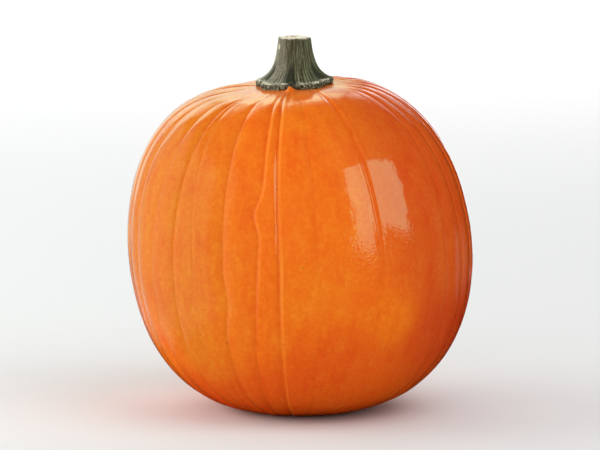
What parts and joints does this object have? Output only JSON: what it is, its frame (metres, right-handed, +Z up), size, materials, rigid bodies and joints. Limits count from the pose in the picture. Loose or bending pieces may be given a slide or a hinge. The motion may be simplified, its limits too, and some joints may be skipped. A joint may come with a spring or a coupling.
{
  "type": "pumpkin",
  "caption": "Round carving pumpkin with shallow furrows between its ribs and a short, flat-cut woody stem that flares into a lobed foot.",
  "frame": {"origin": "on the surface that the pumpkin stands on, under the middle of its outline", "axes": "+Z up along the stem, -Y towards the side that the picture shows, +X to that side's right"},
  "size_m": [0.2505, 0.2506, 0.2709],
  "materials": {
    "rind": "smooth waxy orange rind, glossy, faintly mottled",
    "stem": "dry, grey-green and fibrous, with a pale cut end"
  },
  "bodies": {
    "root": {"fruit": "rind", "stem": "stem"}
  },
  "joints": []
}
